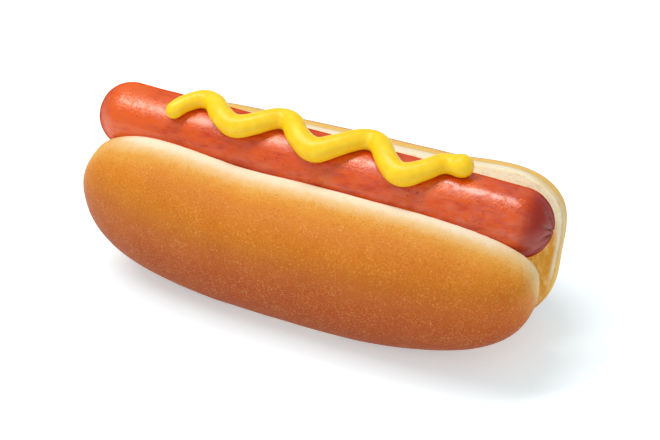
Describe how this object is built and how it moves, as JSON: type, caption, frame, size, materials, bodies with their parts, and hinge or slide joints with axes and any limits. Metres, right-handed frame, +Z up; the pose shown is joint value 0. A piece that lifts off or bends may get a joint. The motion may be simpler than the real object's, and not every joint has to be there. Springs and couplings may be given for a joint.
{
  "type": "hot dog",
  "caption": "Soft long bun slit from above and joined along its base, holding a sausage with a zigzag bead of mustard squeezed along its top.",
  "frame": {"origin": "middle of the underside of the whole hot dog, on the surface it rests on", "axes": "+X along the bun towards the sausage's lower end, +Y towards the bun half that leans out more, +Z up out of the slit"},
  "size_m": [0.1506, 0.0688, 0.0645],
  "materials": {
    "bun_bread": "baked crust, golden brown below and cream at the cut edges, with pale soft crumb in the slit",
    "sausage_skin": "smooth shiny cooked skin, darker and puckered at the tips",
    "mustard_sauce": "smooth wet yellow sauce"
  },
  "bodies": {
    "root": {"bun": "bun_bread", "sausage": "sausage_skin", "mustard": "mustard_sauce"}
  },
  "joints": []
}
